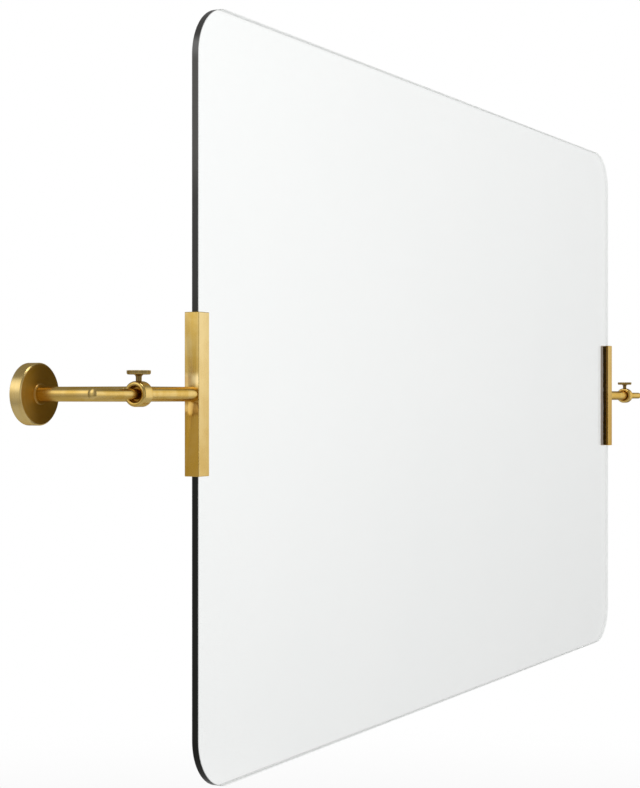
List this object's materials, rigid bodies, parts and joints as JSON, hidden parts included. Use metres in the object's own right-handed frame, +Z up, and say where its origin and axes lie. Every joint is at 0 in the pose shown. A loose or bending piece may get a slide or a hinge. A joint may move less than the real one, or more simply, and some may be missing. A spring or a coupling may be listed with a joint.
{
  "type": "pivot wall mirror",
  "caption": "Frameless wall mirror with rounded corners, gripped at its sides by slotted brass bars that tilt in ringed wall arms and lock with thumb screws.",
  "frame": {"origin": "on the wall plane, midway between the two arms, level with the pivot axis", "axes": "+X along the wall to the right as seen from the room, +Y into the wall, +Z up; the mirror's face looks along -Y"},
  "size_m": [1.226, 0.1094, 0.61],
  "materials": {
    "mirror_glass": "polished silvered glass with a ground arris",
    "backing_film": "grey mirror-backing paint under a safety film",
    "satin_brass": "solid brass, satin brushed, unlacquered",
    "aged_brass": "turned brass, darker patina",
    "zinc_steel": "zinc-plated steel",
    "black_liner": "thin black elastomer strip",
    "nylon": "natural nylon"
  },
  "bodies": {
    "wall_arms": {"left_wall_plate": "zinc_steel", "left_flange": "satin_brass", "left_grub_screw": "zinc_steel", "left_post_screw": "zinc_steel", "left_post": "satin_brass", "left_post_stud": "zinc_steel", "left_ring": "satin_brass", "right_wall_plate": "zinc_steel", "right_flange": "satin_brass", "right_grub_screw": "zinc_steel", "right_post_screw": "zinc_steel", "right_post": "satin_brass", "right_post_stud": "zinc_steel", "right_ring": "satin_brass"},
    "mirror": {"mirror_glass": "mirror_glass", "back_film": "backing_film", "left_clamp_bar": "satin_brass", "left_bar_liner": "black_liner", "left_bar_set_screws": "zinc_steel", "left_pivot_rod": "satin_brass", "right_clamp_bar": "satin_brass", "right_bar_liner": "black_liner", "right_bar_set_screws": "zinc_steel", "right_pivot_rod": "satin_brass"},
    "left_tip": {"left_clamp_tip": "nylon"},
    "left_screw": {"left_thumb_screw": "aged_brass"},
    "right_tip": {"right_clamp_tip": "nylon"},
    "right_screw": {"right_thumb_screw": "aged_brass"}
  },
  "joints": [
    {"name": "mirror_tilt", "type": "hinge", "parent": "wall_arms", "child": "mirror", "pos_m": [0, -0.1, 0], "axis": [1, 0, 0], "range_deg": [-18, 18]},
    {"name": "left_tip_lift", "type": "slide", "parent": "wall_arms", "child": "left_tip", "axis": [0, 0, 1], "range_m": [0, 0.0016]},
    {"name": "left_screw_turn", "type": "hinge", "parent": "left_tip", "child": "left_screw", "pos_m": [-0.555, -0.1, 0], "axis": [0, 0, 1], "range_deg": [0, 720]},
    {"name": "right_tip_lift", "type": "slide", "parent": "wall_arms", "child": "right_tip", "axis": [0, 0, 1], "range_m": [0, 0.0016]},
    {"name": "right_screw_turn", "type": "hinge", "parent": "right_tip", "child": "right_screw", "pos_m": [0.555, -0.1, 0], "axis": [0, 0, 1], "range_deg": [0, 720]}
  ],
  "couplings": [
    {"joint": "left_tip_lift", "follows": "left_screw_turn", "m_per_rad": 0.0001273},
    {"joint": "right_tip_lift", "follows": "right_screw_turn", "m_per_rad": 0.0001273}
  ]
}
